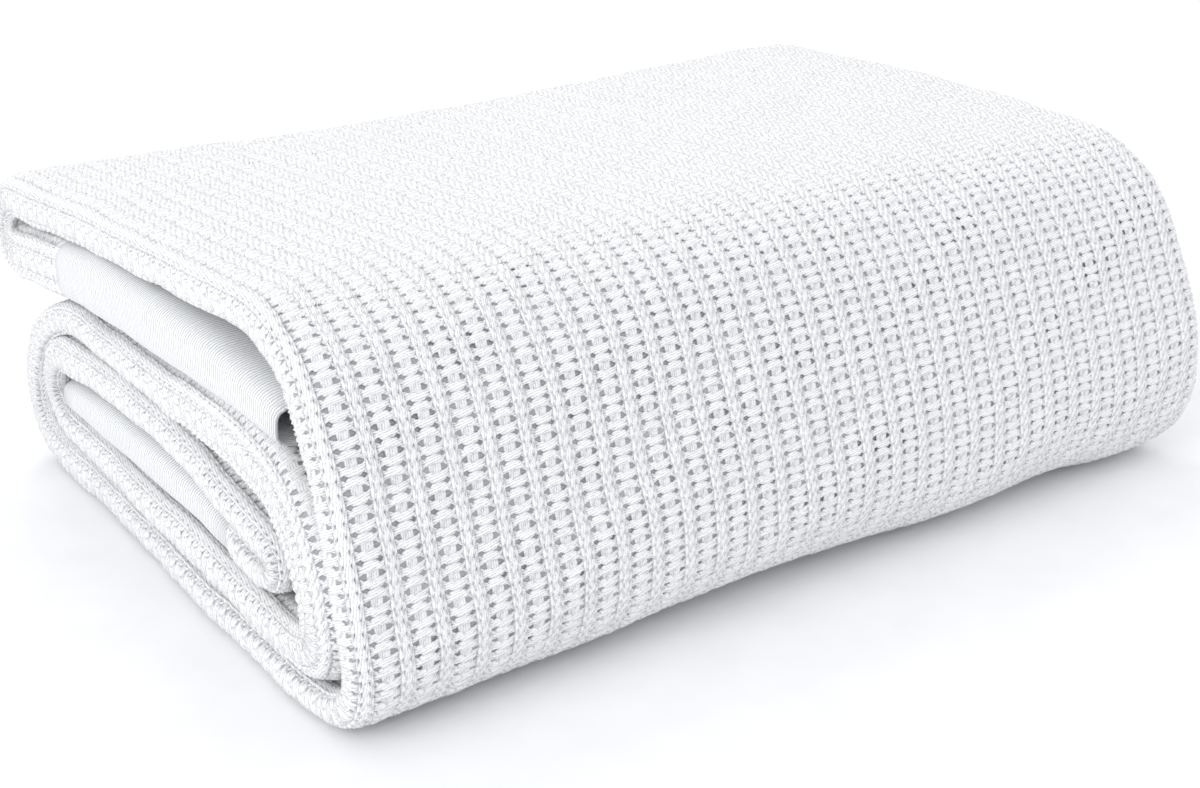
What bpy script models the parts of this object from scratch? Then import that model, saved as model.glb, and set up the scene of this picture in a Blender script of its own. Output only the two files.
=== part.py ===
"""A cellular weave cotton blanket, put away: folded in quarters along its length, then rolled up flat.

The cloth is one piece, so the model is one solid. Its section across the roll is a flattened spiral of
seven runs, and each run is four plies of cloth thick. The section follows one middle line, with a
thickness that varies along it, and it is carried along X from the left folded edge to the right one.
"""

import math
from collections import namedtuple

import bmesh
import bpy
import numpy as np

MM = 0.001

# Driving sizes, in millimetres.
LENGTH = 420.0  # between the two folded edges, a quarter of the cloth's width
GAP = 2.2  # air between one run and the next
EDGE_ROUND = 12.0  # how far in from a folded edge the four plies turn round
EDGE_TIP = 0.16  # share of the thickness left at the very edge
FINE_STEP = 2.0  # spacing of the dense middle line
LONG_STEP = 26.0  # longest stretch of the solid's section where the cloth lies straight
TURN_STEP = math.radians(17)  # and most that it turns between two points of the section
SMOOTHING = 6  # passes that soften the joins between runs and turns
STATIONS = 9  # sections between the two rounded edges
EDGE_STATIONS = 4  # sections round each folded edge

# The seven runs in the order of the roll, from the free outer end to the free inner end. y runs from the
# front of the roll to its back. Each run has the height of its middle line (z) and its thickness (t) at
# its first point, halfway and at its last point, and how far its left fold stands in (inset) at both ends.
Run = namedtuple("Run", "name y0 z0 t0 y1 z1 t1 y2 z2 t2 inset0 inset2")
RUNS = (
    Run("outer heading", 38, 104.6, 12, 150, 105.5, 22.5, 266, 97, 23, 5, 5),
    Run("top", 266, 119.3, 20, 170, 125.5, 18, 78, 129.5, 16, 4, 2),
    Run("bottom", 36, 4.8, 12, 150, 6.7, 16, 242, 8.2, 19, 0, 8),
    Run("over", 210, 82, 15, 150, 82, 19, 86, 82.5, 29, 7, 3),
    Run("under", 58, 19.0, 18, 150, 24.5, 18, 234, 26, 16, 3, 6),
    Run("second", 230, 59, 18.5, 150, 62, 18.5, 66, 50, 16, 8, 5),
    Run("inner heading", 66, 34, 12.5, 150, 42.5, 16, 236, 42.5, 13, 6, 9),
)

# The six turns between them: how far the middle line reaches past the ends, how square the turn is, and
# how much thicker the plies stand halfway round.
Turn = namedtuple("Turn", "name reach square swell")
TURNS = (
    Turn("back fold of the top", 12.5, 2.0, 0),
    Turn("front", 52, 3.2, 3),
    Turn("back", 50, 2.2, 2),
    Turn("inner front", 48, 2.7, 7),
    Turn("inner back", 24, 2.0, 0),
    Turn("innermost", 11, 2.0, 0),
)

# Slow unevenness along the roll, as hands leave it: (x of its middle, half width, millimetres).
Bump = namedtuple("Bump", "x width height")
TOP_HOLLOWS = (Bump(-25, 115, -4.0), Bump(182, 30, 2.0))
FRONT_LIFTS = (Bump(-30, 85, 6.0), Bump(122, 26, 4.5), Bump(226, 14, 10.0))
RIGHT_DROP = 0.04  # share by which the front is lower at the right edge
RIGHT_DRAW = 4.0  # how far the front stands back at the right edge

CLOTH_WHITE = (0.93, 0.935, 0.95, 1.0)


def lerp(a, b, share):
    return a + (b - a) * share


def smooth(share):
    share = min(max(share, 0.0), 1.0)
    return share * share * (3 - 2 * share)


def run_points(run):
    """The run's middle line and thickness, as a curve through its three knots."""
    steps = max(2, round(abs(run.y2 - run.y0) / FINE_STEP))
    points = []
    for i in range(steps + 1):
        share = i / steps
        a, b, c = 2 * (share - 0.5) * (share - 1), 4 * share * (1 - share), 2 * share * (share - 0.5)
        y = lerp(run.y0, run.y2, share)
        z = a * run.z0 + b * run.z1 + c * run.z2
        t = a * run.t0 + b * run.t1 + c * run.t2
        points.append((y, z, t, lerp(run.inset0, run.inset2, share)))
    return points


def turn_points(turn, before, after):
    """Half a superellipse from the end of one run to the start of the next."""
    ahead = 1 if before.y2 > before.y0 else -1
    steps = max(8, round((abs(after.z0 - before.z2) + 2 * turn.reach) / FINE_STEP / 1.4))
    points = []
    for i in range(1, steps):
        angle = math.pi / 2 - math.pi * i / steps
        up = math.copysign(abs(math.sin(angle)) ** (2 / turn.square), math.sin(angle))
        out = math.cos(angle) ** (2 / turn.square)
        share = (1 - up) / 2
        y = lerp(before.y2, after.y0, share) + ahead * turn.reach * out
        z = lerp(before.z2, after.z0, share)
        even = i / steps
        t = lerp(before.t2, after.t0, even) + turn.swell * math.sin(math.pi * even)
        points.append((y, z, t, lerp(before.inset2, after.inset0, even)))
    return points


def middle_line():
    """Rows of y, z, thickness and inset, evenly spaced along the whole roll and softened."""
    rows = []
    for i, run in enumerate(RUNS):
        rows += run_points(run)
        if i < len(TURNS):
            rows += turn_points(TURNS[i], run, RUNS[i + 1])
    rows = np.array(rows)
    along = np.concatenate([[0], np.cumsum(np.hypot(*np.diff(rows[:, :2], axis=0).T))])
    even = np.linspace(0, along[-1], round(along[-1] / FINE_STEP) + 1)
    rows = np.column_stack([np.interp(even, along, column) for column in rows.T])
    for _ in range(SMOOTHING):
        rows[1:-1] = (rows[:-2] + 2 * rows[1:-1] + rows[2:]) / 4
    return rows


def directions(rows):
    """The way the line heads at each point, and the way out of the roll, to its right."""
    ahead = np.gradient(rows[:, :2], axis=0)
    ahead /= np.hypot(*ahead.T)[:, None]
    return ahead, np.column_stack([ahead[:, 1], -ahead[:, 0]])


def chosen(rows):
    """The points that the solid's section keeps: few where it is straight, more round a turn."""
    ahead, _ = directions(rows)
    heading = np.unwrap(np.arctan2(ahead[:, 1], ahead[:, 0]))
    kept = [0]
    for i in range(1, len(rows) - 1):
        if (i - kept[-1]) * FINE_STEP >= LONG_STEP or abs(heading[i] - heading[kept[-1]]) >= TURN_STEP:
            kept.append(i)
    return kept + [len(rows) - 1]


def rise(x, bumps):
    return sum(b.height * math.exp(-(((x - b.x) / b.width) ** 2)) for b in bumps)


def settle(x, y, z, depth, height):
    """Where hands and weight leave a point of the even roll. y counts from the front of the roll."""
    right = smooth((x / LENGTH + 0.5 - 0.35) / 0.65)
    front = 1 - smooth(y / (0.75 * depth))
    z *= 1 - RIGHT_DROP * right * front
    z += rise(x, TOP_HOLLOWS) * (z / height) * smooth(y / depth)
    z += rise(x, FRONT_LIFTS) * math.exp(-((y / 38) ** 2)) * max(0.0, 1 - z / 75)
    y += RIGHT_DRAW * right * front * smooth(z / height)
    return x, y, max(z, 0.0)


def stations():
    """Each section along X: its share of the straight stretch, a step past it, and its fullness."""
    rounds = []
    for i in range(EDGE_STATIONS):
        angle = math.acos(EDGE_TIP) * (1 - i / EDGE_STATIONS)
        rounds.append((math.sin(angle), math.cos(angle) ** 0.8))
    left = [(-1.0, past, full) for past, full in rounds]
    middle = [(2 * i / (STATIONS - 1) - 1, 0.0, 1.0) for i in range(STATIONS)]
    return left + middle + [(1.0, past, full) for past, full in reversed(rounds)]


def blanket_mesh():
    rows = middle_line()
    _, outward = directions(rows)
    kept = chosen(rows)
    rows, outward = rows[kept], outward[kept]
    outline = rows[:, :2] + outward * rows[:, 2:3] / 2
    front, back, top = outline[:, 0].min(), outline[:, 0].max(), outline[:, 1].max()
    rings = []
    for share, past, full in stations():
        ring = []
        for side, order in ((1, range(len(rows))), (-1, reversed(range(len(rows))))):
            for i in order:
                y, z, thick, inset = rows[i]
                half = full * (thick - GAP) / 2
                reach = LENGTH / 2 - EDGE_ROUND - (inset if share < 0 else 0.6 * inset)
                x = share * reach + math.copysign(past * EDGE_ROUND, share)
                y, z = y + side * half * outward[i][0], z + side * half * outward[i][1]
                x, y, z = settle(x, y - front, z, back - front, top)
                ring.append((x, y, z))
        rings.append(ring)
    mesh = bmesh.new()
    points = np.array(rings)
    low, high = points.min(axis=(0, 1)), points.max(axis=(0, 1))
    shift = np.array([(low[0] + high[0]) / 2, (low[1] + high[1]) / 2, low[2]])
    grid = [[mesh.verts.new((p - shift) * MM) for p in ring] for ring in points]
    around = len(grid[0])
    for ring, after in zip(grid, grid[1:]):
        for i in range(around):
            j = (i + 1) % around
            mesh.faces.new((ring[i], ring[j], after[j], after[i]))
    for ring, turned in ((grid[0], True), (grid[-1], False)):
        for i in range(around // 2 - 1):
            quad = (ring[i], ring[i + 1], ring[around - 2 - i], ring[around - 1 - i])
            mesh.faces.new(quad[::-1] if turned else quad)
    bmesh.ops.recalc_face_normals(mesh, faces=mesh.faces)
    return mesh


def cotton():
    """Bleached white cotton yarn, with no shine."""
    material = bpy.data.materials.new("white_cotton")
    material.use_nodes = True
    surface = material.node_tree.nodes["Principled BSDF"]
    surface.inputs["Base Color"].default_value = CLOTH_WHITE
    surface.inputs["Roughness"].default_value = 0.9
    surface.inputs["Metallic"].default_value = 0.0
    material.diffuse_color = CLOTH_WHITE
    return material


def build():
    for old in list(bpy.data.objects):
        bpy.data.objects.remove(old, do_unlink=True)
    mesh = blanket_mesh()
    data = bpy.data.meshes.new("blanket")
    mesh.to_mesh(data)
    mesh.free()
    data.materials.append(cotton())
    data.shade_smooth()
    data.set_sharp_from_angle(angle=math.radians(50))
    blanket = bpy.data.objects.new("blanket", data)
    bpy.context.scene.collection.objects.link(blanket)


build()
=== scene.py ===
# %% [markdown]
# # A cellular cotton blanket, folded in quarters and rolled up flat
# The solid that this scene dresses is the bundle in its plain form: seven runs of folded cloth, wound into
# a flattened spiral. This lesson lays the real sheet on that spiral. First it repeats the spiral from its
# named sizes, then it folds one thin sheet along it, and last it weaves the raised yarns that the blanket
# is known for and bends them over the same folds. The cloth's sizes are in millimetres.

# %% Load the frame
import math
from collections import namedtuple

import bpy
import numpy as np
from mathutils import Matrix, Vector


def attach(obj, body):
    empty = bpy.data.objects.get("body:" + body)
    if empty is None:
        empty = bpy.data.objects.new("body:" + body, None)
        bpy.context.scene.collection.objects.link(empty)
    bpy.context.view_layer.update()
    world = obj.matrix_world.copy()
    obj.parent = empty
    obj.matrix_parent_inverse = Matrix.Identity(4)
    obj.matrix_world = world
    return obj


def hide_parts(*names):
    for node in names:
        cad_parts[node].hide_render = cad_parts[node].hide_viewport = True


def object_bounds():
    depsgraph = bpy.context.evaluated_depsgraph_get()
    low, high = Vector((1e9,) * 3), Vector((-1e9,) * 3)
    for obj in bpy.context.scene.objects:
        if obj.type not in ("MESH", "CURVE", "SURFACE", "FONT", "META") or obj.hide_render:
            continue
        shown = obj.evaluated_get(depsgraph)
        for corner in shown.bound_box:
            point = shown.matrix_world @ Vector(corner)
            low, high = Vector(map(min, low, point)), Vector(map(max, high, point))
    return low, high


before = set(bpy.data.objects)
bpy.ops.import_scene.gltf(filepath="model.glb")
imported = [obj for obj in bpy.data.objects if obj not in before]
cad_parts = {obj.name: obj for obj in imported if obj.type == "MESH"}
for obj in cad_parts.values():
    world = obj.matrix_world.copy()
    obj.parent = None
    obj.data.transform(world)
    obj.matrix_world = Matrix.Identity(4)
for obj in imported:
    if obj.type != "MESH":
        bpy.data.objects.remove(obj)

MM = 0.001
box_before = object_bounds()
cad_low = np.array(box_before[0]) / MM
cad_high = np.array(box_before[1]) / MM
print("bundle, mm:", np.round(cad_high - cad_low, 1))

# %% [markdown]
# ## The spiral
# The real blanket is folded in quarters to a long strip, and the strip is rolled up flat, so its edge draws
# a flattened spiral. A simulation could roll up a strip, but it would not stop at this bundle's shape. So
# each run of the roll is a curve through three heights, and each turn between two runs is half a
# superellipse. The sizes are those of the solid, with runs moved by a few millimetres to where the folds
# lie on the real bundle, and with less air between them.

# %% The runs and the turns
# Each run has the place (y from the front of the roll, z) and the thickness (t) of its middle line at its
# start, halfway and at its end, and how far its left fold stands in (inset) at both ends.
Run = namedtuple("Run", "name y0 z0 t0 z1 t1 y2 z2 t2 inset0 inset2")
RUNS = (
    Run("outer heading", 36, 99.0, 17, 103.5, 26.5, 266, 95.5, 26, 3, 2),
    Run("top", 266, 119.3, 21, 124.8, 19.5, 78, 128.5, 18, 2, 7),
    Run("bottom", 36, 5.6, 13.5, 6.8, 16, 242, 8.3, 19, 2, 8),
    Run("over", 210, 78.5, 16, 78.8, 19, 86, 80.5, 27, 6, 4),
    Run("under", 58, 19.5, 18, 24.5, 18, 234, 26, 16, 3, 6),
    Run("second", 230, 60.0, 20, 60.8, 18, 66, 50, 16, 6, 5),
    Run("inner heading", 66, 35.5, 13, 43, 18.5, 236, 42.4, 15.5, 5, 5),
)

# Each turn has how far the middle line reaches past the ends of its runs, how square it is, and how much
# thicker the plies stand halfway round.
Turn = namedtuple("Turn", "name reach square swell")
TURNS = (
    Turn("back fold of the top", 12.5, 2.0, 0),
    Turn("front", 52, 3.2, 3),
    Turn("back", 50, 2.2, 2),
    Turn("inner front", 50, 3.2, 7),
    Turn("inner back", 24, 2.0, 0),
    Turn("innermost", 16, 2.2, 2),
)
print(len(RUNS), "runs and", len(TURNS), "turns")

# %% [markdown]
# ## Draw the middle line
# This line follows the middle of the four plies, from the free outer end to the free inner end. A curve
# object could hold it, but a table is easier to measure along. Its rows are evenly spaced along the roll,
# and each holds the place of the line, the thickness of the plies, and how far the folded edge stands in.
# A few passes of smoothing soften the joins, as soft cloth would. From here on, `along` is the distance
# along this line.

# %% Middle line
FINE_STEP = 2.0  # between two rows
SMOOTHING = 6  # passes
TURN_COARSER = 1.4  # a turn is first drawn with wider steps than a run


def lerp(a, b, share):
    return a + (b - a) * share


def run_points(run):
    steps = max(2, round(abs(run.y2 - run.y0) / FINE_STEP))
    share = np.linspace(0, 1, steps + 1)
    a, b, c = 2 * (share - 0.5) * (share - 1), 4 * share * (1 - share), 2 * share * (share - 0.5)
    z = a * run.z0 + b * run.z1 + c * run.z2
    t = a * run.t0 + b * run.t1 + c * run.t2
    return np.column_stack([lerp(run.y0, run.y2, share), z, t, lerp(run.inset0, run.inset2, share)])


def turn_points(turn, before, after):
    way = 1 if before.y2 > before.y0 else -1
    steps = max(8, round((abs(after.z0 - before.z2) + 2 * turn.reach) / FINE_STEP / TURN_COARSER))
    even = np.arange(1, steps) / steps
    angle = math.pi / 2 - math.pi * even
    up = np.copysign(np.abs(np.sin(angle)) ** (2 / turn.square), np.sin(angle))
    share = (1 - up) / 2
    y = lerp(before.y2, after.y0, share) + way * turn.reach * np.cos(angle) ** (2 / turn.square)
    z = lerp(before.z2, after.z0, share)
    t = lerp(before.t2, after.t0, even) + turn.swell * np.sin(math.pi * even)
    return np.column_stack([y, z, t, lerp(before.inset2, after.inset0, even)])


def middle_line():
    """Rows of y, z, thickness and inset, how far along each lies, and how far along each run starts."""
    pieces, starts = [], []
    for i, run in enumerate(RUNS):
        starts.append(sum(len(p) for p in pieces))
        pieces.append(run_points(run))
        if i < len(TURNS):
            pieces.append(turn_points(TURNS[i], run, RUNS[i + 1]))
    rows = np.vstack(pieces)
    along = np.concatenate([[0], np.cumsum(np.hypot(*np.diff(rows[:, :2], axis=0).T))])
    even = np.linspace(0, along[-1], round(along[-1] / FINE_STEP) + 1)
    rows = np.column_stack([np.interp(even, along, column) for column in rows.T])
    for _ in range(SMOOTHING):
        rows[1:-1] = (rows[:-2] + 2 * rows[1:-1] + rows[2:]) / 4
    return rows, even, {run.name: along[start] for run, start in zip(RUNS, starts)}


rows, along_rows, run_start = middle_line()
ahead = np.gradient(rows[:, :2], axis=0)
ahead /= np.hypot(*ahead.T)[:, None]
outward = np.column_stack([ahead[:, 1], -ahead[:, 0]])
outline = rows[:, :2] + outward * rows[:, 2:3] / 2
front, depth, top = outline[:, 0].min(), np.ptp(outline[:, 0]), outline[:, 1].max()
print("cloth along the roll, mm:", round(along_rows[-1]))

# %% [markdown]
# ## Rounded folds
# At the left of each run its two outer plies meet in one blunt fold round the two inner ones. At the right
# each outer ply turns back to an inner ply in a slim lip of its own. A subdivided box would be rounded too,
# but distances on the cloth would be hard to tell. So an edge is a squashed quarter circle, measured once
# in a table, and a point on it is found by its share of the edge's true length.

# %% A quarter circle that knows its length
RELIEF = 1.7  # the raised yarns above the ground cloth
GROUND = 1.0  # thickness of the ground cloth
EDGE_ROUND, FOLD_POWER = 12.0, 0.42  # depth of a left fold, and its bluntness: a power of 1 is an ellipse
LIP, LIP_POWER = 6.5, 0.9  # the same for a lip at the right
LOWEST, HIGHEST, HEIGHTS = 0.4, 16.0, 60  # the heights that the table holds, and how many
SHARES = 81  # places along the edge in the table
ARC_POINTS = 240  # points from which the length is measured
NEARLY = 0.001  # keeps a place in the table just short of its last entry
TINY = 1e-12  # keeps a division or a sign away from nought


class Quarter:
    """A squashed quarter circle of one depth and any height, read by its share of its own length."""

    def __init__(self, depth, power):
        self.heights = np.linspace(LOWEST, HIGHEST, HEIGHTS)
        angle = np.linspace(0, math.pi / 2, ARC_POINTS)
        share = np.linspace(0, 1, SHARES)
        self.length = np.zeros(HEIGHTS)
        self.table = np.zeros((HEIGHTS, SHARES, 2))
        for i, height in enumerate(self.heights):
            x, h = depth * (1 - np.cos(angle)), height * np.sin(angle) ** power
            run = np.concatenate([[0], np.cumsum(np.hypot(np.diff(x), np.diff(h)))])
            self.length[i] = run[-1]
            for j, values in enumerate((x, h)):
                self.table[i, :, j] = np.interp(share * run[-1], run, values)

    def long(self, height):
        return np.interp(height, self.heights, self.length)

    def at(self, height, share):
        """x from the tip, h, and the outward direction, for arrays of heights and shares."""
        # i counts heights in the table, j counts shares, and fi and fj are how far each is past an entry.
        i = np.clip((height - LOWEST) / (HIGHEST - LOWEST) * (HEIGHTS - 1), 0, HEIGHTS - 1 - NEARLY)
        j = np.clip(share, 0, 1) * (SHARES - 1 - NEARLY)
        i0, j0 = i.astype(int), j.astype(int)
        fi, fj = (i - i0)[..., None], (j - j0)[..., None]
        before, after = (lerp(self.table[i0, k], self.table[i0 + 1, k], fi) for k in (j0, j0 + 1))
        place, way = lerp(before, after, fj), after - before
        way /= np.maximum(np.hypot(way[..., 0], way[..., 1]), TINY)[..., None]
        return place[..., 0], place[..., 1], -way[..., 1], way[..., 0]


left_fold = Quarter(EDGE_ROUND - RELIEF - GROUND / 2, FOLD_POWER)
right_lip = Quarter(LIP - RELIEF - GROUND / 2, LIP_POWER)
long_8, long_3 = left_fold.long(8), right_lip.long(3)
print("cloth round half a fold 8 mm high and half a lip 3 mm high, mm:", np.round((long_8, long_3), 1))

# %% [markdown]
# ## Four plies in each run
# The sheet's two long edges were folded in to its middle, and then it was folded in half. So a cut across
# a run shows one curve: it starts at one selvedge inside the left fold, runs right, turns back in a lip,
# runs left, goes round the left folded edge, and does the same again on the lower side. Four sheets would
# be simpler to stack, but their edges would show as four cut ones. Here `across` is the distance on the
# curve from the tip of the left fold, positive on the outer side of the roll, and `h` is the height above
# the middle of the run. `nx` and `nh` are the way out of the cloth.

# %% The cut across a run
LENGTH = 420.0  # between the two folded edges
INNER_SHARE = 0.17  # height of an inner ply, as a share of the run's thickness
PLY_GAP = 0.5  # least air between an outer and an inner ply


def levels(thick, relief):
    """Heights of the outer and the inner ply above the middle of the run."""
    outer = thick / 2 - relief - GROUND / 2
    return outer, np.minimum(INNER_SHARE * thick, outer - GROUND - PLY_GAP)


def cut(across, thick, relief, left, right):
    """x, h, nx and nh at a distance across the sheet."""
    side, across = np.sign(across + TINY), np.abs(across)
    outer, inner = levels(thick, relief)
    around = left_fold.long(outer)
    straight = (right - LIP) - (left + EDGE_ROUND)
    past = across - around - straight  # beyond the straight part of the outer ply
    lip_half = (outer - inner) / 2
    lip_long = right_lip.long(lip_half)
    share = past / lip_long  # 0 to 1 on the upper half of the lip, 1 to 2 on the lower
    half = np.where(share < 1, 1, -1)
    lip_x, lip_h, lip_nx, lip_nh = right_lip.at(lip_half, np.abs(1 - share))
    rim = relief + GROUND / 2

    x, h, nx, nh = left_fold.at(outer, across / around)
    place = (left + RELIEF + GROUND / 2 + x, h, nx, nh)
    on_outer = (left + EDGE_ROUND + across - around, outer, 0, 1)
    on_lip = (right - rim - lip_x, (outer + inner) / 2 + half * lip_h, -lip_nx, half * lip_nh)
    on_inner = (right - LIP - (past - 2 * lip_long), inner, 0, -1)
    stretches = ((across > around, on_outer), ((past > 0) & (share < 2), on_lip), (share >= 2, on_inner))
    for here, there in stretches:
        place = [np.where(here, new, old) for new, old in zip(there, place)]
    x, h, nx, nh = place
    return x, h * side, nx, nh * side


print("plies of a run 18 mm thick lie at, mm:", np.round(levels(18.0, RELIEF), 1))

# %% [markdown]
# ## Open weave and plain headings
# Each short end of the blanket is woven plain for a hand's length, so that it doesn't fray or stretch.
# On the loom one weave simply passes into the other. A joined strip would show a seam that the real cloth
# doesn't have, so here the height of the raised yarns fades to almost nothing over a few millimetres.

# %% Where the open weave fades
PLAIN_RELIEF = 0.15  # what a plain heading keeps of the relief
FADE = 8  # distance in which the relief fades
CELLULAR_FROM = run_start["top"] - 84  # the outer heading ends just before the back fold
CELLULAR_TO = run_start["inner heading"] + 22  # and the inner one starts just past the innermost turn


def smooth(share):
    share = np.clip(share, 0, 1)
    return share * share * (3 - 2 * share)


def fade_at(along):
    """1 in the open weave, and 0 in the plain headings."""
    return smooth((along - CELLULAR_FROM) / FADE) * smooth((CELLULAR_TO - along) / FADE)


def relief_at(along):
    return lerp(PLAIN_RELIEF, RELIEF, fade_at(along))


print("open weave along the roll, mm:", round(CELLULAR_FROM), "to", round(CELLULAR_TO))

# %% [markdown]
# ## Where hands and weight leave it
# An even roll looks machine made. The real one has a shallow hollow along the top, a front edge that lifts
# off the table in places, and a right end that is a little lower and tucked in at its foot. Sculpting could
# do this by hand, but a short list of soft bumps can be read and changed. Added to these are small swells
# and sways of a millimetre or less, in the sizes that four soft plies take, so that no fold runs dead
# straight.

# %% Settle the roll
Bump = namedtuple("Bump", "x width height")
TOP_HOLLOWS = (Bump(-25, 115, -4.0), Bump(182, 30, 2.0))
FRONT_LIFTS = (Bump(-30, 85, 6.0), Bump(122, 26, 4.5), Bump(222, 24, 14.0))
LIFT_DEEP, LIFT_HIGH = 38, 75  # how far from the front edge, and up to what height, a lift is felt
RIGHT_FROM = 0.35  # share of the length at which the right end begins to differ
NEAR_DEEP = 0.75  # share of the depth at which the front's changes have faded
RIGHT_DROP = 0.04  # share by which the front is lower at the right end
RIGHT_DRAW = 4.0  # how far it stands back there
RIGHT_TUCK, TUCK_HIGH, TUCK_POWER = 12.0, 70.0, 1.5  # its foot is tucked in, less and less up to a height
OFF_FLOOR = 0.05  # lowest that any yarn lies

# A swell has its height, its wavelength across the sheet and along it, and where it starts. Swells lift
# the outer plies, and sways shift the folds to the left and right.
Swell = namedtuple("Swell", "high across along phase")
SWELLS = (
    Swell(0.45, 131, 47, 0.4),
    Swell(0.35, 83, 71, 2.1),
    Swell(0.28, 57, 33, 4.0),
    Swell(0.20, 37, 23, 1.2),
)
SWAYS = (Swell(0.6, 610, 158, 0.8), Swell(0.3, 240, 71, 2.9), Swell(0.15, 150, 33, 5.0))


def wave(parts, across, along):
    total = 0
    for p in parts:
        total = total + p.high * np.sin(2 * math.pi * (across / p.across + along / p.along) + p.phase)
    return total


def rise(x, bumps):
    return sum(b.height * np.exp(-(((x - b.x) / b.width) ** 2)) for b in bumps)


def settle(x, y, z):
    right = smooth((x / LENGTH + 0.5 - RIGHT_FROM) / (1 - RIGHT_FROM))
    near = 1 - smooth(y / (NEAR_DEEP * depth))
    x = x - RIGHT_TUCK * right * near * np.clip(1 - z / TUCK_HIGH, 0, 1) ** TUCK_POWER
    z = z * (1 - RIGHT_DROP * right * near)
    z = z + rise(x, TOP_HOLLOWS) * (z / top) * smooth(y / depth)
    z = z + rise(x, FRONT_LIFTS) * np.exp(-((y / LIFT_DEEP) ** 2)) * np.maximum(0, 1 - z / LIFT_HIGH)
    y = y + RIGHT_DRAW * right * near * smooth(z / top)
    return x, y, np.maximum(z, OFF_FLOOR)


print("swells:", len(SWELLS), "sways:", len(SWAYS))

# %% [markdown]
# ## One rule for every point of the cloth
# The ground cloth and the yarns on it must follow the same folds, or they would drift apart. Modifiers such
# as Curve or Lattice could bend each piece, but none knows the plies inside a run. So one function takes a
# point of the flat cloth, by its distances across and along, and says where it lies in the bundle.

# %% Lay a point of the cloth
GAP = 1.0  # air between one run and the next
RIGHT_INSET = 0.6  # the right folds stand in by this share of the left ones
YARN_CLEAR = 0.2  # air that the yarns of two inner plies keep
SWELL_SHARE, SWELL_DROP = 0.5, 0.4  # how much of a swell the outer ply takes, from a little lower down
SWELL_ROOM = 2.0  # air under the outer ply that a full swell takes


def read(table, along):
    """What a table's columns say at a distance along the middle line."""
    return [np.interp(along, along_rows, column) for column in table.T]


def lay(across, along, face, raised=0.0):
    """The place of a point of the cloth, on its right side (face 1) or wrong side (-1), and raised."""
    y, z, thick, inset = read(rows, along)
    out_y, out_z = read(outward, along)
    size = np.hypot(out_y, out_z)
    out_y, out_z = out_y / size, out_z / size
    thick, relief = thick - GAP, relief_at(along)
    x, h, nx, nh = cut(across, thick, relief, inset - LENGTH / 2, LENGTH / 2 - RIGHT_INSET * inset)
    outer, inner = levels(thick, relief)
    faces_out = (1 + nh * np.sign(across + TINY)) / 2
    room = np.clip((inner - GROUND / 2 - YARN_CLEAR) / RELIEF, 0, 1)
    calm = faces_out * np.clip((outer - inner - GROUND) / SWELL_ROOM, 0, 1)
    swell = SWELL_SHARE * wave(SWELLS, across, along) - SWELL_DROP
    above = face * GROUND / 2 + raised * lerp(room, 1, faces_out) + calm * swell
    x, h = x + above * nx + wave(SWAYS, across, along), h + above * nh
    x, y, z = settle(x, y + h * out_y - front, z + h * out_z)
    return np.column_stack([x, y + cad_low[1], z]) * MM


middle_of_top = lay(np.array([LENGTH / 2]), np.array([run_start["top"] + 100]), 1)[0] / MM
print("a point in the middle of the top, mm:", np.round(middle_of_top, 1))

# %% [markdown]
# ## One helper for a mesh
# Every piece of cloth here is a set of points and faces, so one small function makes the object. Faces
# are smooth, because yarn has no edges. Two more give a mesh a UV map and a value at each point.

# %% Mesh helpers
def make_object(name, points, faces, smooth_faces=True):
    data = bpy.data.meshes.new(name)
    data.from_pydata([tuple(p) for p in points], [], faces)
    data.validate()
    if smooth_faces:
        data.shade_smooth()
    made = bpy.data.objects.new(name, data)
    bpy.context.scene.collection.objects.link(made)
    return made


def add_uv(obj, name, per_point):
    index = np.zeros(len(obj.data.loops), int)
    obj.data.loops.foreach_get("vertex_index", index)
    obj.data.uv_layers.new(name=name).data.foreach_set("uv", per_point[index].ravel())


def add_value(obj, name, per_point):
    obj.data.attributes.new(name, "FLOAT", "POINT").data.foreach_set("value", per_point)


def triangles(obj):
    obj.data.calc_loop_triangles()
    return len(obj.data.loop_triangles)


print("helpers ready")

# %% [markdown]
# ## The ground cloth
# The ground is one thin sheet, folded as above. A folded plane with Solidify was the first idea, but at
# such tight folds that modifier throws spikes. So the right and the wrong side are laid each by itself and
# closed along the edge. The sheet has many points where it turns and few where it lies flat. Its UV map
# holds millimetres of cloth, so a plain weave can be drawn on it at its real size, and a value marks the
# ground under raised yarns, where the eye looks down through holes into shade, which the material paints
# grey.

# %% Fold the ground cloth
PITCH = 14.2  # from rib to rib, across the cloth
FIRST_RIB = -7.5  # the rib of column 0, across
LAST_COLUMN = 31  # the weave ends at this column's rib, inside the lips
# COVER_FADE is the width in which the painted shade under the yarns ends.
COVER_FADE = 3  # width in which the shade under the yarns ends there
LONG_STEP = 12.0  # longest step along the roll
TURN_STEP = 7.0  # and most degrees that it turns in a step
FOLD_STEPS, OUTER_STEPS, LIP_STEPS, INNER_STEPS = 8, 12, 10, 8  # along the stretches of half a cut
SELVEDGE_SHORT = 4  # the selvedge stops this much before the left fold


def roll_stations():
    """Distances along the roll, close together where it turns."""
    heading = np.degrees(np.unwrap(np.arctan2(ahead[:, 1], ahead[:, 0])))
    kept = [0]
    for i in range(1, len(rows) - 1):
        last = kept[-1]
        if along_rows[i] - along_rows[last] >= LONG_STEP or abs(heading[i] - heading[last]) >= TURN_STEP:
            kept.append(i)
    return along_rows[kept + [len(rows) - 1]]


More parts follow.
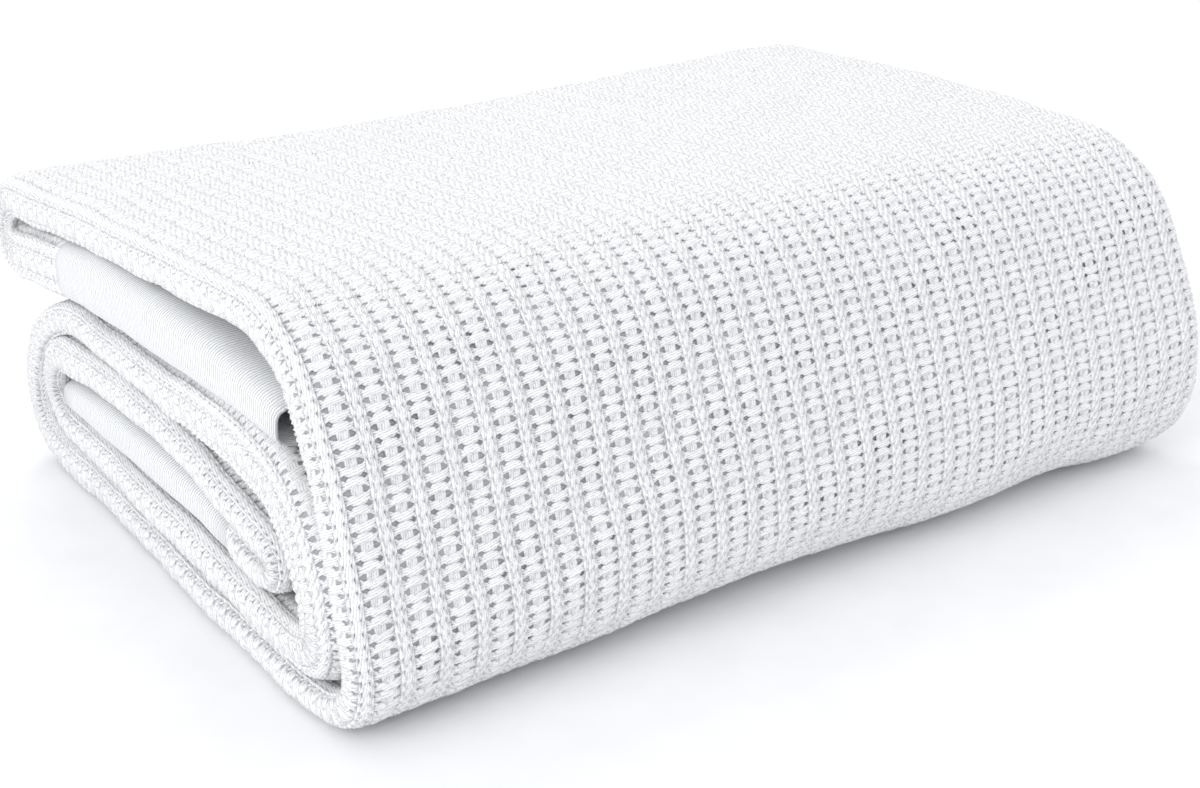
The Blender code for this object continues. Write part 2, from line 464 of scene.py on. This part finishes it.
def half_curve(along):
    """Distances from the left tip to the selvedge inside, always the same number of them."""
    _, _, thick, inset = read(rows, along)
    outer, inner = levels(thick - GAP, relief_at(along))
    straight = LENGTH - (1 + RIGHT_INSET) * inset - LIP - EDGE_ROUND
    stretches = (
        (left_fold.long(outer), FOLD_STEPS),
        (straight, OUTER_STEPS),
        (2 * right_lip.long((outer - inner) / 2), LIP_STEPS),
        (straight - SELVEDGE_SHORT, INNER_STEPS),
    )
    parts, start = [], 0
    for long, steps in stretches:
        parts.append(start + np.linspace(0, long, steps + 1)[1:])
        start += long
    return np.concatenate(parts)


def fold_ground():
    stations = roll_stations()
    halves = [half_curve(along) for along in stations]
    across = np.array([np.concatenate([-half[::-1], [0.0], half]) for half in halves])
    long, wide = across.shape
    under = long * wide  # the wrong side's points follow the right side's
    across, along = across.ravel(), np.repeat(stations, wide)
    faces = []
    for i in range(long - 1):
        for a in range(i * wide, (i + 1) * wide - 1):
            quad = (a, a + 1, a + wide + 1, a + wide)
            faces += [quad, tuple(p + under for p in quad[::-1])]
    selvedge = [i * wide for i in range(long)]
    edge = list(range(wide)) + [a + wide - 1 for a in selvedge[1:]]
    edge += list(range(under - 2, under - wide - 1, -1)) + selvedge[-2:0:-1]
    for a, b in zip(edge, edge[1:] + edge[:1]):
        faces.append((b, a, a + under, b + under))
    made = make_object("blanket_ground", np.vstack([lay(across, along, 1), lay(across, along, -1)]), faces)
    cloth = np.column_stack([across, along])
    add_uv(made, "cloth_mm", np.vstack([cloth, cloth]))
    woven_to = FIRST_RIB + LAST_COLUMN * PITCH
    # share of painted shade: full under the open weave, fading at its edge and in the plain headings
    painted_shade_share = fade_at(along) * smooth((woven_to - np.abs(across)) / COVER_FADE)
    add_value(made, "under_yarns", np.concatenate([painted_shade_share, 0 * painted_shade_share]))
    return made


ground = fold_ground()
half_width = half_curve(run_start["top"])[-1]
print("ground cloth:", triangles(ground), "triangles, half its width, mm:", round(half_width))

# %% [markdown]
# ## The chain rib
# The blanket's face is an open basket weave with chain ribs between the columns. One repeat is 14 mm wide
# and 9 mm long, and its yarns are narrow arched strips, sunk at their borders so that no open edge shows.
# The rib comes first: a broad chain between two straight yarns. Tubes for single yarns would look no better
# from a step away, and would take many times the triangles.

# %% One stretch of rib
PERIOD = 8.9  # two rows of holes, along the cloth
SUNK = -0.25  # borders of the strips, below the ground's face
RIB_HALF = 2.6
RIB_STEPS, STITCHES = 6, 2  # in one repeat
SIDE_AT, SIDE_CREST = 2.0, 1.5  # the straight yarn at each side of the chain
GROOVE_AT, GROOVE_DEEP, GROOVE_SHALLOW = 1.3, -0.1, 1.1  # the groove beside the chain
GROOVE_FILLS = 1.5  # the groove is shallow again at 1 / 1.5 of a stitch
LEG_AT, CHAIN_CREST, PARTING = 0.65, 1.75, 0.55  # the two legs of a chain stitch, and the dip between them
TIE_DROP = 0.6  # where one stitch passes into the next
SLANT, UPRIGHT_AT = 0.9, 0.33  # how far a groove leans over one stitch, and where it stands upright


def rib_grid():
    """Rows of points (u across, v along, w up). Where two stitches meet, the grooves are deep."""
    grid = []
    for i in range(RIB_STEPS + 1):
        place = (STITCHES * i / RIB_STEPS) % 1.0
        groove = lerp(GROOVE_DEEP, GROOVE_SHALLOW, min(1.0, GROOVE_FILLS * place))
        chain = CHAIN_CREST - (0.0 if place else TIE_DROP)
        lean = SLANT * (place - UPRIGHT_AT)
        profile = (
            (-RIB_HALF, SUNK),
            (-SIDE_AT, SIDE_CREST),
            (lean - GROOVE_AT, groove),
            (lean / 2 - LEG_AT, chain),
            (lean / 2, chain - PARTING),
            (lean / 2 + LEG_AT, chain),
            (lean + GROOVE_AT, groove),
            (SIDE_AT, SIDE_CREST),
            (RIB_HALF, SUNK),
        )
        grid.append([(u, PERIOD * i / RIB_STEPS, w) for u, w in profile])
    return grid


print("rib:", len(rib_grid()), "rows of", len(rib_grid()[0]))

# %% [markdown]
# ## The bars and the blocks
# Two bars of yarn pass from rib to rib. They meet where they leave a rib and part round a hole, and
# halfway a block of upright strands binds them. Holes could be cut from a sheet, but the real ones are only
# what the yarns leave open, so here too the yarns are what is drawn.

# %% Bars and a block
Knot = namedtuple("Knot", "u low high crest")  # a station of a bar: its place across, its edges, its height
BAR = (
    Knot(2.3, -0.2, 4.65, 0.6),
    Knot(3.9, 1.05, 3.4, 1.4),
    Knot(5.1, -0.02, 3.55, 1.6),
    Knot(7.1, -0.2, 3.1, 1.65),
)
BAR_SHARES = (0.0, 0.13, 0.5, 0.87, 1.0)  # from one border of a bar to the other
BAR_DIP = 0.7  # in the middle, between its two yarns
Ledge = namedtuple("Ledge", "v crest")  # a station of a block: its place along, its height
BLOCK = (Ledge(2.3, 0.5), Ledge(3.6, 1.35), Ledge(5.3, 1.35), Ledge(6.6, 0.5))
BLOCK_HALF = 2.2
STRANDS, STRAND_GROOVE = 4, 0.6  # in a block, and the groove between two


def bar_grid(turned):
    """One bar from rib to rib, or the one that mirrors it along the cloth."""
    knots = list(BAR) + [k._replace(u=PITCH - k.u) for k in reversed(BAR[:-1])]
    grid = []
    for share in BAR_SHARES:
        border, dip = share in (0.0, 1.0), BAR_DIP if share == 0.5 else 0.0
        row = []
        for k in knots:
            v = lerp(k.low, k.high, share)
            row.append((k.u, PERIOD - v if turned else v, SUNK if border else k.crest - dip))
        grid.append(row)
    return grid[::-1] if turned else grid


def block_grid():
    last = 2 * STRANDS
    grid = []
    for ledge in BLOCK:
        row = []
        for i in range(last + 1):
            u = PITCH / 2 + (2 * BLOCK_HALF * i / last - BLOCK_HALF)
            w = SUNK if i in (0, last) else ledge.crest - (0.0 if i % 2 else STRAND_GROOVE)
            row.append((u, ledge.v, w))
        grid.append(row)
    return grid


def weave_repeat():
    """All strips of one repeat. Its UV map holds where a point is across and along its own yarn."""
    points, faces, strands = [], [], []
    for grid, lengthwise in ((rib_grid(), 1), (bar_grid(False), 0), (bar_grid(True), 0), (block_grid(), 1)):
        first, wide = len(points), len(grid[0])
        points += [p for row in grid for p in row]
        strands += [(p[1 - lengthwise], p[lengthwise]) for row in grid for p in row]
        for i in range(len(grid) - 1):
            for a in range(first + i * wide, first + (i + 1) * wide - 1):
                faces.append((a, a + 1, a + wide + 1, a + wide))
    made = make_object("weave_repeat", np.array(points) * MM, faces)
    add_uv(made, "strand_mm", np.array(strands))
    return made


repeat = weave_repeat()
lowest = min(face.normal.z for face in repeat.data.polygons)
print("one repeat:", triangles(repeat), "triangles, lowest normal", round(lowest, 2))

# %% [markdown]
# ## Helpers for materials
# Bleached cotton has no colour of its own and no gloss, so what the eye reads is its structure: the plies
# of the yarn, a faint fuzz, and shade between the strands. A photograph of cloth would bring its own light
# along, so every pattern is worked out by nodes, from the cloth's real sizes.

# %% Colours and nodes
def linear(hex_colour):
    """An sRGB hex colour as linear values."""
    parts = [int(hex_colour[i : i + 2], 16) / 255 for i in (1, 3, 5)]
    return tuple(c / 12.92 if c <= 0.04045 else ((c + 0.055) / 1.055) ** 2.4 for c in parts) + (1.0,)


def node(tree, kind, settings=None, values=None, links=None):
    """Adds a node with its settings, its input values, and the sockets that feed its inputs."""
    made = tree.nodes.new(kind)
    for name, value in (settings or {}).items():
        setattr(made, name, value)
    for name, value in (values or {}).items():
        made.inputs[name].default_value = value
    for name, socket in (links or {}).items():
        tree.links.new(socket, made.inputs[name])
    return made


def new_material(name, roughness):
    """A matt material: next to no shine, and a little sheen for the fuzz of cotton."""
    material = bpy.data.materials.new(name)
    material.use_nodes = True
    surface = material.node_tree.nodes["Principled BSDF"]
    surface.inputs["Roughness"].default_value = roughness
    surface.inputs["Specular IOR Level"].default_value = 0.3
    surface.inputs["Sheen Weight"].default_value = 0.15
    return material, material.node_tree, surface


def blend_stops(ramp, *stops):
    """Sets a colour ramp's stops, each a place and a hex colour."""
    while len(ramp.elements) < len(stops):
        ramp.elements.new(0.5)
    for element, (place, colour) in zip(ramp.elements, stops):
        element.position, element.color = place, linear(colour)


print("white in linear values:", np.round(linear("#FDFDFE"), 3))

# %% [markdown]
# ## Bleached cotton yarn
# The raised yarns are soft twisted cotton. Each shows slanting plies, which are lines of a sine over the
# yarn's own UV map, bent a little by noise. Between the plies the colour is darkened as a painted shade,
# and the same lines drive a small bump. Modelled plies would cost millions of faces. The lower a point
# lies, the darker its colour is painted: a painted shade for the sky that does not reach down between
# real yarns.

# %% Yarn: white, matt, with fine plies, and painted shade between the plies and on its low parts
PLY, TWIST = 0.85, 5.0  # from ply to ply across a yarn, and along it
FIBRE = 0.7  # size of the finest unevenness
WANDER = 7.0  # how far that bends the plies, in radians
MOTTLE = 0.3  # and how far it shifts the shade, as a share of the relief
yarn_white, tree, surface = new_material("bleached_cotton_yarn", 0.9)
place = node(tree, "ShaderNodeTexCoord").outputs["Object"]
noise = {"Scale": 1 / (FIBRE * MM), "Detail": 3.0}
fibres = node(tree, "ShaderNodeTexNoise", values=noise, links={"Vector": place}).outputs["Fac"]
strand = node(tree, "ShaderNodeUVMap", {"uv_map": "strand_mm"}).outputs["UV"]
turns = (2 * math.pi / PLY, 2 * math.pi / TWIST, 0)
leaning = node(tree, "ShaderNodeVectorMath", {"operation": "DOT_PRODUCT"}, {1: turns}, {0: strand})
drift = node(
    tree,
    "ShaderNodeMath",
    {"operation": "MULTIPLY_ADD"},
    {1: WANDER},
    {0: fibres, 2: leaning.outputs["Value"]},
)
plies = node(tree, "ShaderNodeMath", {"operation": "SINE"}, links={0: drift.outputs["Value"]})
between = node(
    tree,
    "ShaderNodeMapRange",
    values={"From Min": -1.0, "From Max": -0.2, "To Min": 0.68, "To Max": 1.0},
    links={"Value": plies.outputs["Value"]},
).outputs["Result"]
height = node(tree, "ShaderNodeAttribute", {"attribute_name": "height"}).outputs["Fac"]
mottle = {1: MOTTLE, 2: -MOTTLE / 2}
uneven = node(tree, "ShaderNodeMath", {"operation": "MULTIPLY_ADD"}, mottle, {0: fibres})
level = node(tree, "ShaderNodeMath", {"operation": "ADD"}, links={0: height, 1: uneven.outputs["Value"]})
# Painted shade: the lower a point of the yarn lies, the greyer its colour, from grey at the bottom to white
# on the crests.
shade = node(tree, "ShaderNodeValToRGB", links={"Fac": level.outputs["Value"]})
blend_stops(shade.color_ramp, (0.0, "#999CA1"), (0.15, "#C3C5C9"), (0.33, "#F3F4F5"), (0.5, "#FDFDFE"))
# The ply lines scale that colour down between the plies, a painted shade in their grooves.
shaded = node(
    tree,
    "ShaderNodeVectorMath",
    {"operation": "SCALE"},
    links={0: shade.outputs["Color"], "Scale": between},
)
tree.links.new(shaded.outputs["Vector"], surface.inputs["Base Color"])
raised = {"Strength": 0.5, "Distance": 0.25 * MM}
bump = node(tree, "ShaderNodeBump", values=raised, links={"Height": between})
tree.links.new(bump.outputs["Normal"], surface.inputs["Normal"])
print("yarn:", yarn_white.name, "with", len(tree.nodes), "nodes")

# %% [markdown]
# ## Plain-woven cotton
# The headings and the ground are woven plain, with a fine rib of a millimetre or so. Two bands of waves
# over the UV map of the cloth draw it, one for the ribs and a faint one for the threads that cross them.
# Where the open weave covers the ground, a painted shade takes its place: a grey for the shade that the
# eye sees there through the holes into the folded plies.

# %% Ground: flat and matt, finely ribbed, and with a painted shade under the open weave
WAVE_ONE = 0.314  # distance from wave to wave at a scale of 1
RIB_APART, THREAD_APART = 1.4, 0.8
THREAD_SHARE = 0.5  # how much of the white the crossing threads can take away
ground_white, tree, surface = new_material("plain_woven_cotton", 0.92)
mm_map = {"Vector": node(tree, "ShaderNodeUVMap", {"uv_map": "cloth_mm"}).outputs["UV"]}
ribbing = {"Scale": 1 / RIB_APART * WAVE_ONE, "Distortion": 3.0, "Detail": 2.0, "Detail Scale": 1.5}
threads = {"Scale": 1 / THREAD_APART * WAVE_ONE, "Distortion": 1.0, "Detail": 1.0}
ribs = node(tree, "ShaderNodeTexWave", {"bands_direction": "Y"}, ribbing, mm_map).outputs["Fac"]
ends = node(tree, "ShaderNodeTexWave", {"bands_direction": "X"}, threads, mm_map).outputs["Fac"]
share = {1: THREAD_SHARE, 2: 1 - THREAD_SHARE}
faint = node(tree, "ShaderNodeMath", {"operation": "MULTIPLY_ADD"}, share, {0: ends})
product = {0: ribs, 1: faint.outputs["Value"]}
both = node(tree, "ShaderNodeMath", {"operation": "MULTIPLY"}, links=product).outputs["Value"]
open_white = node(tree, "ShaderNodeValToRGB", links={"Fac": both})
blend_stops(open_white.color_ramp, (0.0, "#BCBEC1"), (0.3, "#F1F2F3"), (0.7, "#F8F8F9"))
painted_shade_share = node(tree, "ShaderNodeAttribute", {"attribute_name": "under_yarns"}).outputs["Fac"]
mixing = {"Factor": painted_shade_share, "A": open_white.outputs["Color"]}
mixed = node(tree, "ShaderNodeMix", {"data_type": "RGBA"}, links=mixing)
# the grey of the painted shade seen through the holes of the open weave
mixed.inputs["B"].default_value = linear("#B0B2B6")
tree.links.new(mixed.outputs["Result"], surface.inputs["Base Color"])
raised = {"Strength": 0.5, "Distance": 0.6 * MM}
bump = node(tree, "ShaderNodeBump", values=raised, links={"Height": both})
tree.links.new(bump.outputs["Normal"], surface.inputs["Normal"])
print("ground:", ground_white.name, "with", len(tree.nodes), "nodes")

# %% [markdown]
# ## Weave a flat field
# A loom repeats one thing thousands of times, and so do Geometry Nodes. The tree puts the repeat on every
# point of a grid, joins the ribs end to end, and then moves the points a little by a noise, so that no
# two repeats are the same. An Array modifier would repeat them too, but all alike. The field comes out flat
# and is bent over the folds afterwards.

# %% The weaving tree
JOIN = 0.02  # points closer than this become one
NOISE_SCALE = 170.0  # per metre, so the weave wanders over about 6 mm
INPUTS = (
    ("Columns", "NodeSocketInt"),
    ("Rows", "NodeSocketInt"),
    ("Pitch", "NodeSocketFloat"),
    ("Period", "NodeSocketFloat"),
    ("Unevenness", "NodeSocketFloat"),
    ("Seed", "NodeSocketFloat"),
    ("Repeat", "NodeSocketObject"),
    ("Yarn", "NodeSocketMaterial"),
)


def weaving_tree():
    tree = bpy.data.node_groups.new("weave a flat field", "GeometryNodeTree")
    for name, kind in INPUTS:
        tree.interface.new_socket(name, in_out="INPUT", socket_type=kind)
    tree.interface.new_socket("Field", in_out="OUTPUT", socket_type="NodeSocketGeometry")
    given = node(tree, "NodeGroupInput").outputs
    counts = {"Vertices X": given["Columns"], "Vertices Y": given["Rows"]}
    spans = {}
    for span, count, size in (("Size X", "Columns", "Pitch"), ("Size Y", "Rows", "Period")):
        less = node(tree, "ShaderNodeMath", {"operation": "SUBTRACT"}, {1: 1.0}, {0: given[count]})
        product = {0: less.outputs[0], 1: given[size]}
        spans[span] = node(tree, "ShaderNodeMath", {"operation": "MULTIPLY"}, links=product).outputs[0]
    grid = node(tree, "GeometryNodeMeshGrid", links=spans | counts).outputs["Mesh"]
    part = node(tree, "GeometryNodeObjectInfo", links={"Object": given["Repeat"]}).outputs["Geometry"]
    placed = node(tree, "GeometryNodeInstanceOnPoints", links={"Points": grid, "Instance": part})
    real = node(tree, "GeometryNodeRealizeInstances", links={"Geometry": placed.outputs["Instances"]})
    joined = node(
        tree,
        "GeometryNodeMergeByDistance",
        values={"Distance": JOIN * MM},
        links={"Geometry": real.outputs["Geometry"]},
    )
    noise = node(
        tree,
        "ShaderNodeTexNoise",
        {"noise_dimensions": "4D"},
        {"Scale": NOISE_SCALE, "Detail": 2.0},
        {"W": given["Seed"]},
    )
    half = {1: (0.5, 0.5, 0.5)}
    centred = node(
        tree, "ShaderNodeVectorMath", {"operation": "SUBTRACT"}, half, {0: noise.outputs["Color"]}
    )
    strength = {0: centred.outputs[0], "Scale": given["Unevenness"]}
    scaled = node(tree, "ShaderNodeVectorMath", {"operation": "SCALE"}, links=strength)
    shift = {"Geometry": joined.outputs["Geometry"], "Offset": scaled.outputs[0]}
    moved = node(tree, "GeometryNodeSetPosition", links=shift)
    flat = node(tree, "GeometryNodeRealizeInstances", links={"Geometry": moved.outputs["Geometry"]})
    cloth = {"Geometry": flat.outputs["Geometry"], "Material": given["Yarn"]}
    dressed = node(tree, "GeometryNodeSetMaterial", links=cloth)
    node(tree, "NodeGroupOutput", links={"Field": dressed.outputs["Geometry"]})
    return tree


weaving = weaving_tree()
print("tree:", len(weaving.nodes), "nodes")

# %% [markdown]
# ## From the tree to a plain mesh
# The frame wants finished pieces without modifiers, so each field is evaluated once and kept as a mesh.
# The inputs are set by their identifiers before that, as a name alone doesn't reach a modifier's socket.

# %% Weave one flat field
UNEVENNESS = 1.3  # full range of the wandering


def weave_flat(name, columns, row_count, seed):
    """A plain mesh of the flat field, and its points in millimetres from its first rib and row."""
    field = make_object(name, [], [])
    loom = field.modifiers.new("loom", "NODES")
    loom.node_group = weaving
    values = {"Columns": columns, "Rows": row_count, "Pitch": PITCH * MM, "Period": PERIOD * MM}
    values |= {"Unevenness": UNEVENNESS * MM, "Seed": seed, "Repeat": repeat, "Yarn": yarn_white}
    for item in weaving.interface.items_tree:
        if item.in_out == "INPUT":
            loom[item.identifier] = values[item.name]
    graph = bpy.context.evaluated_depsgraph_get()
    woven = bpy.data.meshes.new_from_object(field.evaluated_get(graph))
    field.modifiers.remove(loom)
    field.data = woven
    points = np.zeros(len(woven.vertices) * 3)
    woven.vertices.foreach_get("co", points)
    points = points.reshape(-1, 3) / MM
    points[:, 0] += (columns - 1) * PITCH / 2
    points[:, 1] += (row_count - 1) * PERIOD / 2
    return field, points


print("inputs of the tree:", ", ".join(name for name, _ in INPUTS))

# %% [markdown]
# ## Bend the fields over the folds
# A woven row has one length, but in a roll the outer ply has the longest way round. So rows are counted
# along the outer face. A Curve modifier would count along the middle line and stretch the rows of every
# outer ply. Each point keeps its height as a value, from which the yarn's material paints its shade.

# %% Rows along the roll
outer_path = rows[:, :2] + outward * (rows[:, 2:3] - GAP) / 2
outer_length = np.concatenate([[0], np.cumsum(np.hypot(*np.diff(outer_path, axis=0).T))])
first_length = np.interp(CELLULAR_FROM, along_rows, outer_length)


def along_at(row):
    return np.interp(first_length + row * PERIOD, outer_length, along_rows)


def row_at(along):
    return int(round((np.interp(along, along_rows, outer_length) - first_length) / PERIOD))


def bend(field, points, part):
    across = (FIRST_RIB + part.column * PITCH + points[:, 0]) * part.side
    along = along_at(part.row + points[:, 1] / PERIOD)
    bent = lay(across, along, 1, (points[:, 2] - SUNK) * fade_at(along) + SUNK)
    # the height drives the yarn's painted shade: low points are painted darker
    add_value(field, "height", np.clip(points[:, 2] / RELIEF, 0, 1))
    field.data.vertices.foreach_set("co", bent.ravel())
    if part.side < 0:
        field.data.flip_normals()
    field.data.update()
    return field


last_row = row_at(CELLULAR_TO)
print("rows of the open weave:", last_row)

# %% [markdown]
# ## Weave what shows
# The whole blanket has thirty thousand repeats, and most lie hidden between the runs. The fields cover what
# can be seen from some side: the top, the front, the back, the left folds of every run and the lips at the
# right. The hidden plies and most of the underside stay plain ground.

# %% The fields
# A field has its first column and how many, its first row and how many, and the side of the roll that its
# cloth lies on: 1 outer, -1 inner.
Field = namedtuple("Field", "name column columns row rows side")
FACE_FROM, FACE_COLUMNS = 2, LAST_COLUMN - 2
FOLD_FROM, FOLD_COLUMNS = -1, 3
LIPS_FROM, LIP_COLUMNS = LAST_COLUMN - 2, 2
FIRST_SEED, SEED_STEP = 3.0, 7

fold_row = row_at(run_start["top"] + 40)  # past the back fold, on the top
front_row = row_at(run_start["top"] + 215)  # over the front shoulder
under_row = row_at(run_start["bottom"] + 36)  # past the front turn, under the bundle
back_row = row_at(run_start["over"] - 155)  # before the back turn, under the bundle
over_row = row_at(run_start["over"] + 15)  # inside, past the back turn
print("rows: front", front_row, "under", under_row, "back", back_row, "over", over_row)
FIELDS = (
    Field("weave_back_fold", FACE_FROM, FACE_COLUMNS, 0, fold_row, 1),
    Field("weave_top", FACE_FROM, FACE_COLUMNS, fold_row, front_row - fold_row, 1),
    Field("weave_front", FACE_FROM, FACE_COLUMNS, front_row, under_row - front_row, 1),
    Field("weave_back", FACE_FROM, FACE_COLUMNS, back_row, over_row - back_row, 1),
    Field("weave_left_folds", FOLD_FROM, FOLD_COLUMNS, 0, last_row, 1),
    Field("weave_lips_under", LIPS_FROM, LIP_COLUMNS, under_row, back_row - under_row, 1),
    Field("weave_lips_inner", LIPS_FROM, LIP_COLUMNS, over_row, last_row - over_row, 1),
    Field("weave_lips_below", LIPS_FROM, LIP_COLUMNS, 0, last_row, -1),
)
woven = []
for i, part in enumerate(FIELDS):
    field, points = weave_flat(part.name, part.columns, part.rows, FIRST_SEED + SEED_STEP * i)
    woven.append(bend(field, points, part))
    print(part.name, triangles(field), "triangles")

# %% [markdown]
# ## Dress the ground and clear up
# The fields got their material from the tree, and the ground takes its own here. The single repeat was only
# a pattern for the loom, so it goes, or it would lie beside the bundle as a stray piece.

# %% Clear up
ground.data.materials.append(ground_white)
bpy.data.objects.remove(repeat)
print("all cloth:", triangles(ground) + sum(triangles(w) for w in woven), "triangles")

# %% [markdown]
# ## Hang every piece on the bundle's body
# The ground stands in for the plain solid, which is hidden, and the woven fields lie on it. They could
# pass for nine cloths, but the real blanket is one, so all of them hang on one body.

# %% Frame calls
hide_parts("blanket")
for piece in [ground] + woven:
    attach(piece, "root")
print("pieces in the sheet:", 1 + len(woven))

# %% [markdown]
# ## The floor
# White cloth shows best on a pale paper sheet that runs on past the view. A backdrop with a curved foot
# would do as well, but a flat floor is enough here: the near-white surround meets it in a faint line, and
# that shows only in low views from other sides.

# %% Floor
corners = [(-3, -3, 0), (3, -3, 0), (3, 3, 0), (-3, 3, 0)]
floor = make_object("floor", corners, [(0, 1, 2, 3)], False)
floor_white, tree, surface = new_material("pale_paper_floor", 0.95)
place = node(tree, "ShaderNodeTexCoord").outputs["Object"]
noise = {"Scale": 40.0, "Detail": 2.0}
grain = node(tree, "ShaderNodeTexNoise", values=noise, links={"Vector": place})
shade = node(tree, "ShaderNodeValToRGB", links={"Fac": grain.outputs["Fac"]})
blend_stops(shade.color_ramp, (0.3, "#F1F2F3"), (0.7, "#F5F5F6"))
tree.links.new(shade.outputs["Color"], surface.inputs["Base Color"])
floor.data.materials.append(floor_white)
print("floor:", floor_white.name)

# %% [markdown]
# ## Light and camera
# Relief in white on white is seen by its soft shade alone, so most light comes from all round, and two
# large lamps add a side: one from the left, low enough to model the yarns, and one from behind, which lays
# a soft shadow under the front edge. Small lamps would give hard black holes in the weave. The camera's
# place and lens follow from where the bundle's long and short edges meet when they are drawn on.

# %% Surround, lamps and camera
world = bpy.data.worlds.new("studio")
bpy.context.scene.world = world
world.use_nodes = True
world.node_tree.nodes["Background"].inputs["Color"].default_value = linear("#FCFDFF")
world.node_tree.nodes["Background"].inputs["Strength"].default_value = 1.06
AIM = (0, 0, 0.05)  # metres, in the middle of the bundle


def soft_light(name, place, size, power):
    """A round lamp that faces the bundle, with its place and size in metres and its power in watts."""
    lamp = bpy.data.lights.new(name, "AREA")
    lamp.shape, lamp.size, lamp.energy = "DISK", size, power
    made = bpy.data.objects.new(name, lamp)
    made.location = place
    made.rotation_euler = (Vector(AIM) - Vector(place)).to_track_quat("-Z", "Y").to_euler()
    bpy.context.scene.collection.objects.link(made)


soft_light("window_left", (-1.4, -0.5, 0.8), 1.0, 6.0)
soft_light("window_back", (0.3, 1.1, 1.5), 0.8, 5.0)

camera = bpy.data.cameras.new("camera")
camera.lens, camera.sensor_width = 56.98, 36.0
eye = bpy.data.objects.new("camera", camera)
look = Vector((0.53908, 0.74938, -0.38447))
eye.location = (-0.44226, -0.60570, 0.340)
eye.rotation_euler = look.to_track_quat("-Z", "Y").to_euler()
bpy.context.scene.collection.objects.link(eye)
bpy.context.scene.camera = eye
bpy.context.scene.view_settings.view_transform = "Standard"
print("camera at", tuple(eye.location))
